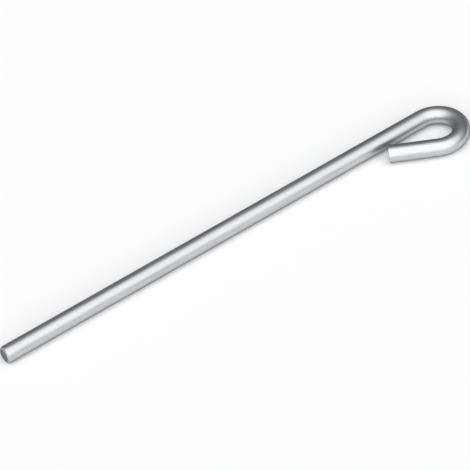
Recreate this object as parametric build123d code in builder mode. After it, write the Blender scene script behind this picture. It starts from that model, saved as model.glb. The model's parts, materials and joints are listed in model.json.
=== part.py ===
from build123d import *
import math
import os

# Eye rod: one straight round steel bar with its end bent round into an open eye.
# Lengths are in millimetres and angles in degrees.
# The rod lies flat as it would come to rest, with the bar and the eye both on Z = 0.
# X runs along the shank towards the eye, and the origin is below the middle of the outline.

# Driving dimensions
overall_length = 300.0  # from the plain end to the far side of the eye
bar_diameter = 10.0
eye_inside_diameter = 18.0  # across the round part of the eye
tail_slope = 32.0  # between the tail and the shank
tail_gap = 2.0  # opening left between the tip of the tail and the shank
plain_end_rounding = 1.6  # edge radius of the plain end

# The bar's centreline, from the driving dimensions
bar_radius = bar_diameter / 2
bend_radius = eye_inside_diameter / 2 + bar_radius
bend_angle = 180.0 + tail_slope
shank_length = overall_length - bend_radius - bar_radius  # up to the start of the bend

# The tail starts where the bend ends, and its near corner stops at the gap
slope_sine = math.sin(math.radians(tail_slope))
slope_cosine = math.cos(math.radians(tail_slope))
bend_end_height = bend_radius * (1 + slope_cosine)  # above the shank's centreline
tail_tip_height = bar_radius + tail_gap + bar_radius * slope_cosine
tail_length = (bend_end_height - tail_tip_height) / slope_sine

# Where the centreline starts in the finished rod's outline
plain_end_x = -overall_length / 2
shank_y = bend_radius

with BuildPart() as eye_rod:
    with BuildLine(Plane.XY.offset(bar_radius)) as centreline:
        shank = Line((plain_end_x, shank_y), (plain_end_x + shank_length, shank_y))
        bend = JernArc(shank @ 1, shank % 1, radius=bend_radius, arc_size=-bend_angle)
        PolarLine(bend @ 1, tail_length, direction=bend % 1)

    # The round bar, swept along its centreline, with both ends cut square
    with BuildSketch(Plane(centreline.line @ 0, z_dir=centreline.line % 0)):
        Circle(bar_radius)
    sweep(path=centreline.line)

    # The plain end's edge is rounded over, and the tail's stays as it was cut
    plain_end_face = eye_rod.faces().filter_by(GeomType.PLANE).sort_by(Axis.X)[0]
    fillet(plain_end_face.edges(), radius=plain_end_rounding)

eye_rod.part.label = "eye_rod"

os.makedirs("parts", exist_ok=True)
export_step(eye_rod.part, "parts/eye_rod.step")
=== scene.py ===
"""Looks of the eye rod: bright drawn steel lying on a white floor in soft studio light.

Lengths are in metres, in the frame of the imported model: X along the shank towards
the eye, Z up, and the floor at Z = 0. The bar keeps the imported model's form, on a mesh
that is fine enough for a smooth shine. Each of its points knows where it lay on the
straight bar, so the surface patterns follow the bend.
"""

import json
import math

import bpy
from mathutils import Matrix, Vector


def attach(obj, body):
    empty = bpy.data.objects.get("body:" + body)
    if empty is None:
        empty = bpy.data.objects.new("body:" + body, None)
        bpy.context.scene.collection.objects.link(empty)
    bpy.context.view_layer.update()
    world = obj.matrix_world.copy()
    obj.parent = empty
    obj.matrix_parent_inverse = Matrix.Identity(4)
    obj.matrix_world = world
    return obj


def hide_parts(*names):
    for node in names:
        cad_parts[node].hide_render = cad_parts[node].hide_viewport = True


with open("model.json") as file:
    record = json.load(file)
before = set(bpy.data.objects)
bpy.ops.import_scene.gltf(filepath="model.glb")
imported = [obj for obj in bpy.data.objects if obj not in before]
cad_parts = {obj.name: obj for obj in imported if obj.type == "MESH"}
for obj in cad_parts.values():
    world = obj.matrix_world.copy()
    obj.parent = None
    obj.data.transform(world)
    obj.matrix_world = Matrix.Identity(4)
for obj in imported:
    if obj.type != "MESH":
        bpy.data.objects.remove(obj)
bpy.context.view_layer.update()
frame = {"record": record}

MM = 0.001

# Sizes of the bar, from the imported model's own mounts
mounts = {mount["name"]: mount for mount in frame["record"]["mounts"]}
BAR_RADIUS = mounts["shank"]["dims"]["r_mm"] * MM
EYE_CENTRE = Vector(mounts["eye"]["pos_m"])
BEND_RADIUS = mounts["eye"]["dims"]["r_mm"] * MM + BAR_RADIUS
SHANK_LENGTH = EYE_CENTRE.x - mounts["plain_end"]["pos_m"][0]
PLAIN_END_ROUNDING = SHANK_LENGTH - mounts["shank"]["dims"]["length_mm"] * MM

# The tail, which slopes from the end of the bend until its near corner stops at the gap
TAIL_SLOPE = math.radians(32.0)
TAIL_GAP = 2.0 * MM
BEND_ANGLE = math.pi + TAIL_SLOPE
BEND_LENGTH = BEND_RADIUS * BEND_ANGLE
TAIL_RISE = (BEND_RADIUS - BAR_RADIUS) * (1 + math.cos(TAIL_SLOPE)) - TAIL_GAP
TAIL_LENGTH = TAIL_RISE / math.sin(TAIL_SLOPE)

# How finely the bar is meshed
SIDES = 96
ROUNDING_STEPS = 12
SHANK_STEPS = 40
BEND_STEPS = 84
TAIL_STEPS = 5
# A ring this far inside the plain end's rounding keeps the shading of its face flat
FLAT_MARGIN = 0.15 * MM

# Camera, at the photograph's viewing angle
IMAGE_PIXELS = 470
FOCAL_PIXELS = 5133.0
SENSOR_WIDTH = 36.0
CAMERA_TARGET = Vector((-1.90, 7.12, 5.0)) * MM
CAMERA_AZIMUTH = -30.440
CAMERA_ELEVATION = 40.959
CAMERA_ROLL = -8.549
CAMERA_DISTANCE = 2.7855

# Light
ROOM_COLOUR = (0.20, 0.205, 0.215)
KEY_COLOUR = (1.80, 1.80, 1.81)
KEY_AZIMUTH = -28.0
KEY_ELEVATION = 52.0
KEY_INNER_ANGLE = 36.0
KEY_OUTER_ANGLE = 76.0
FLOOR_COLOUR = (0.9, 0.9, 0.9)
FLOOR_RADIUS = 12.0
FLOOR_SIDES = 96

# Steel: the drawn skin of the bar, and the cut faces of its two ends, which are rougher and
# whose colour is painted darker as painted shade
SKIN_DARK = (0.505, 0.520, 0.538)
SKIN_LIGHT = (0.595, 0.610, 0.626)
SKIN_ROUGHNESS = 0.36
# Colours of the cut faces, darker than the skin's: painted shade
SHADED_FACE_DARK = (0.265, 0.270, 0.281)
SHADED_FACE_LIGHT = (0.335, 0.341, 0.354)
FACE_ROUGHNESS = 0.44
FACE_DEPTH = 0.02 * MM
EDGE_TINT = (0.12, 0.12, 0.12)

# The mesh attribute with the place of each point on the straight bar: along it from the
# start of the bend, outwards from its middle as seen from the eye, and up from its middle
BAR_PLACE = "bar_place"

# Surface patterns: the size of one cell in those directions, and the levels of detail.
# The turned rings vary with the distance from the bar's middle and along the bar instead.
DRAWN_LINE = Vector((40.0, 0.6, 0.6)) * MM
DRAWN_DETAIL = 4.0
TURNED_RING = Vector((0.35, 0.35, 1.0)) * MM
TURNED_DETAIL = 2.0
SAWN_LINE = Vector((1.0, 4.0, 0.35)) * MM
SAWN_DETAIL = 3.0
CLOUD = Vector((24.0, 5.0, 5.0)) * MM
CLOUD_DETAIL = 2.0
# The value that a noise texture varies about
NOISE_MIDDLE = 0.5

# How strongly the patterns show
MIDDLE_TONE = 0.5
LINE_DEPTH = 0.014 * MM
LINE_IN_COLOUR = 2.0
CLOUD_IN_COLOUR = 1.5
LINE_IN_ROUGHNESS = 0.20
CLOUD_IN_ROUGHNESS = 0.15


def direction(azimuth, elevation):
    """Unit vector from the object towards a viewer; azimuth 0 stands at -Y."""
    a, e = math.radians(azimuth), math.radians(elevation)
    return Vector((math.sin(a) * math.cos(e), -math.cos(a) * math.cos(e), math.sin(e)))


def make_camera():
    """The photograph's camera, aimed near the middle of the rod."""
    data = bpy.data.cameras.new("camera")
    data.sensor_width = SENSOR_WIDTH
    data.lens = FOCAL_PIXELS / IMAGE_PIXELS * SENSOR_WIDTH
    camera = bpy.data.objects.new("camera", data)
    bpy.context.scene.collection.objects.link(camera)
    back = direction(CAMERA_AZIMUTH, CAMERA_ELEVATION)
    level = (-back).to_track_quat("-Z", "Y").to_matrix().to_4x4()
    roll = Matrix.Rotation(math.radians(CAMERA_ROLL), 4, "Z")
    place = Matrix.Translation(CAMERA_TARGET + back * CAMERA_DISTANCE)
    camera.matrix_world = place @ level @ roll
    bpy.context.scene.camera = camera


def make_world():
    """A dim room with one large soft key light above the camera."""
    world = bpy.data.worlds.new("studio")
    world.use_nodes = True
    nodes, links = world.node_tree.nodes, world.node_tree.links
    coordinates = nodes.new("ShaderNodeTexCoord")
    alignment = nodes.new("ShaderNodeVectorMath")
    alignment.operation = "DOT_PRODUCT"
    alignment.inputs[1].default_value = direction(KEY_AZIMUTH, KEY_ELEVATION)
    falloff = nodes.new("ShaderNodeMapRange")
    falloff.interpolation_type = "SMOOTHSTEP"
    falloff.inputs["From Min"].default_value = math.cos(math.radians(KEY_OUTER_ANGLE))
    falloff.inputs["From Max"].default_value = math.cos(math.radians(KEY_INNER_ANGLE))
    blend = nodes.new("ShaderNodeMix")
    blend.data_type = "RGBA"
    blend.inputs["A"].default_value = (*ROOM_COLOUR, 1.0)
    blend.inputs["B"].default_value = (*KEY_COLOUR, 1.0)
    links.new(coordinates.outputs["Generated"], alignment.inputs[0])
    links.new(alignment.outputs["Value"], falloff.inputs["Value"])
    links.new(falloff.outputs["Result"], blend.inputs["Factor"])
    links.new(blend.outputs["Result"], nodes["Background"].inputs["Color"])
    bpy.context.scene.world = world


def make_floor():
    """A wide, matt white floor, which belongs to the picture and not to the rod."""
    bpy.ops.mesh.primitive_circle_add(
        vertices=FLOOR_SIDES, radius=FLOOR_RADIUS, fill_type="NGON"
    )
    floor = bpy.context.object
    floor.name = "floor"
    material = bpy.data.materials.new("white_floor")
    material.use_nodes = True
    shader = material.node_tree.nodes["Principled BSDF"]
    shader.inputs["Base Color"].default_value = (*FLOOR_COLOUR, 1.0)
    shader.inputs["Roughness"].default_value = 1.0
    shader.inputs["Specular IOR Level"].default_value = 0.0
    floor.data.materials.append(material)


def spread(start, end, steps):
    """Evenly spaced distances, after start and up to end."""
    return [start + (end - start) * step / steps for step in range(1, steps + 1)]


def ring_sizes():
    """The bar's rings, from its plain end to its tail: distance along it, and radius.

    The distance counts from the start of the bend, so it is negative on the shank.
    """
    rounding_start = -SHANK_LENGTH
    rounding_end = PLAIN_END_ROUNDING - SHANK_LENGTH
    flat_radius = BAR_RADIUS - PLAIN_END_ROUNDING
    rings = [(rounding_start, flat_radius - FLAT_MARGIN), (rounding_start, flat_radius)]
    for turn in spread(0.0, math.pi / 2, ROUNDING_STEPS):
        along = rounding_end - PLAIN_END_ROUNDING * math.cos(turn)
        rings.append((along, flat_radius + PLAIN_END_ROUNDING * math.sin(turn)))
    full_size = (
        spread(rounding_end, 0.0, SHANK_STEPS)
        + spread(0.0, BEND_LENGTH, BEND_STEPS)
        + spread(BEND_LENGTH, BEND_LENGTH + TAIL_LENGTH, TAIL_STEPS)
    )
    return rings + [(along, BAR_RADIUS) for along in full_size]


def place_on_centreline(along):
    """The middle of the bar there, and the direction outwards from the eye."""
    bent = min(max(along, 0.0), BEND_LENGTH)
    turn = bent / BEND_RADIUS
    outward = Vector((math.sin(turn), math.cos(turn), 0.0))
    forward = Vector((math.cos(turn), -math.sin(turn), 0.0))
    return EYE_CENTRE + outward * BEND_RADIUS + forward * (along - bent), outward


def make_bar():
    """The bent bar, with the place of each point on the straight bar as an attribute."""
    points, places = [], []
    for along, radius in ring_sizes():
        middle, outward = place_on_centreline(along)
        for side in range(SIDES):
            turn = math.tau * side / SIDES
            out, up = radius * math.cos(turn), radius * math.sin(turn)
            points.append(middle + outward * out + Vector((0.0, 0.0, up)))
            places += (along, out, up)

    last_ring = len(points) - SIDES
    faces = [tuple(reversed(range(SIDES)))]
    for ring in range(0, last_ring, SIDES):
        for side in range(SIDES):
            beside = (side + 1) % SIDES
            near, far = ring, ring + SIDES
            faces.append((near + side, near + beside, far + beside, far + side))
    faces.append(tuple(range(last_ring, last_ring + SIDES)))

    mesh = bpy.data.meshes.new("bent_bar")
    mesh.from_pydata(points, [], faces)
    mesh.shade_smooth()
    for edge in mesh.edges:
        edge.use_edge_sharp = min(edge.vertices) >= last_ring
    bar_place = mesh.attributes.new(BAR_PLACE, "FLOAT_VECTOR", "POINT")
    bar_place.data.foreach_set("vector", places)

    bar = bpy.data.objects.new("bent_bar", mesh)
    bpy.context.scene.collection.objects.link(bar)
    return bar


class Graph:
    """Adds nodes to a material. A value is a number, a vector, a colour or a node's socket."""

    def __init__(self, material):
        self.nodes = material.node_tree.nodes
        self.links = material.node_tree.links

    def put(self, socket, value):
        if isinstance(value, bpy.types.NodeSocket):
            self.links.new(value, socket)
        else:
            socket.default_value = value

    def math(self, operation, *values):
        node = self.nodes.new("ShaderNodeMath")
        node.operation = operation
        for socket, value in zip(node.inputs, values):
            self.put(socket, value)
        return node.outputs["Value"]

    def join(self, x, y, z):
        node = self.nodes.new("ShaderNodeCombineXYZ")
        for socket, value in zip(node.inputs, (x, y, z)):
            self.put(socket, value)
        return node.outputs["Vector"]

    def split(self, vector):
        node = self.nodes.new("ShaderNodeSeparateXYZ")
        self.put(node.inputs["Vector"], vector)
        return node.outputs

    def mix(self, kind, factor, a, b):
        """Blend from a to b. The kind is Float or Color."""
        node = self.nodes.new("ShaderNodeMix")
        node.data_type = {"Float": "FLOAT", "Color": "RGBA"}[kind]
        sockets = {socket.identifier: socket for socket in (*node.inputs, *node.outputs)}
        self.put(sockets["Factor_Float"], factor)
        self.put(sockets[f"A_{kind}"], a)
        self.put(sockets[f"B_{kind}"], b)
        return sockets[f"Result_{kind}"]

    def noise(self, place, cell, detail):
        """Noise that varies about 0, over cells of the given size."""
        scale = self.nodes.new("ShaderNodeVectorMath")
        scale.operation = "DIVIDE"
        self.put(scale.inputs[0], place)
        self.put(scale.inputs[1], cell)
        node = self.nodes.new("ShaderNodeTexNoise")
        node.inputs["Scale"].default_value = 1.0
        node.inputs["Detail"].default_value = detail
        self.put(node.inputs["Vector"], scale.outputs["Vector"])
        return self.math("SUBTRACT", node.outputs["Fac"], NOISE_MIDDLE)


def surface_lines(graph, bar, is_turned, is_sawn):
    """Fine lines along the bar, rings on its plain end and straight lines on its tail's cut."""
    along, outward, up = graph.split(bar)
    squares = graph.math("MULTIPLY_ADD", outward, outward, graph.math("MULTIPLY", up, up))
    radius = graph.math("SQRT", squares)
    drawn = graph.noise(bar, DRAWN_LINE, DRAWN_DETAIL)
    turned = graph.noise(graph.join(radius, along, 0.0), TURNED_RING, TURNED_DETAIL)
    sawn = graph.noise(bar, SAWN_LINE, SAWN_DETAIL)
    lines = graph.mix("Float", is_turned, drawn, turned)
    return graph.mix("Float", is_sawn, lines, sawn)


def make_steel():
    """Drawn steel, faintly lined and clouded, with a turned plain end and a sawn tail; the cut
    faces of both are rougher and painted darker as painted shade.
    """
    material = bpy.data.materials.new("drawn_steel")
    material.use_nodes = True
    graph = Graph(material)
    place = graph.nodes.new("ShaderNodeAttribute")
    place.attribute_name = BAR_PLACE
    bar = place.outputs["Vector"]
    along = graph.split(bar)["X"]

    is_turned = graph.math("LESS_THAN", along, PLAIN_END_ROUNDING - SHANK_LENGTH)
    is_flat = graph.math("LESS_THAN", along, FACE_DEPTH - SHANK_LENGTH)
    is_sawn = graph.math("GREATER_THAN", along, BEND_LENGTH + TAIL_LENGTH - FACE_DEPTH)
    is_face = graph.math("MAXIMUM", is_flat, is_sawn)
    lines = surface_lines(graph, bar, is_turned, is_sawn)
    clouds = graph.noise(bar, CLOUD, CLOUD_DETAIL)

    tone = graph.math("MULTIPLY_ADD", lines, LINE_IN_COLOUR, MIDDLE_TONE)
    tone = graph.math("MULTIPLY_ADD", clouds, CLOUD_IN_COLOUR, tone)
    skin = graph.mix("Color", tone, (*SKIN_DARK, 1.0), (*SKIN_LIGHT, 1.0))
    # The cut faces take the darker colours, which are painted shade
    face = graph.mix("Color", tone, (*SHADED_FACE_DARK, 1.0), (*SHADED_FACE_LIGHT, 1.0))
    colour = graph.mix("Color", is_face, skin, face)

    roughness = graph.mix("Float", is_face, SKIN_ROUGHNESS, FACE_ROUGHNESS)
    roughness = graph.math("MULTIPLY_ADD", lines, LINE_IN_ROUGHNESS, roughness)
    roughness = graph.math("MULTIPLY_ADD", clouds, CLOUD_IN_ROUGHNESS, roughness)

    bump = graph.nodes.new("ShaderNodeBump")
    bump.inputs["Distance"].default_value = LINE_DEPTH
    graph.put(bump.inputs["Height"], lines)

    shader = graph.nodes["Principled BSDF"]
    shader.inputs["Metallic"].default_value = 1.0
    shader.inputs["Specular Tint"].default_value = (*EDGE_TINT, 1.0)
    graph.put(shader.inputs["Base Color"], colour)
    graph.put(shader.inputs["Roughness"], roughness)
    graph.put(shader.inputs["Normal"], bump.outputs["Normal"])
    return material


make_camera()
make_world()
make_floor()

bar = make_bar()
bar.data.materials.append(make_steel())
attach(bar, "root")
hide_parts("eye_rod")

bpy.context.scene.view_settings.view_transform = "Standard"
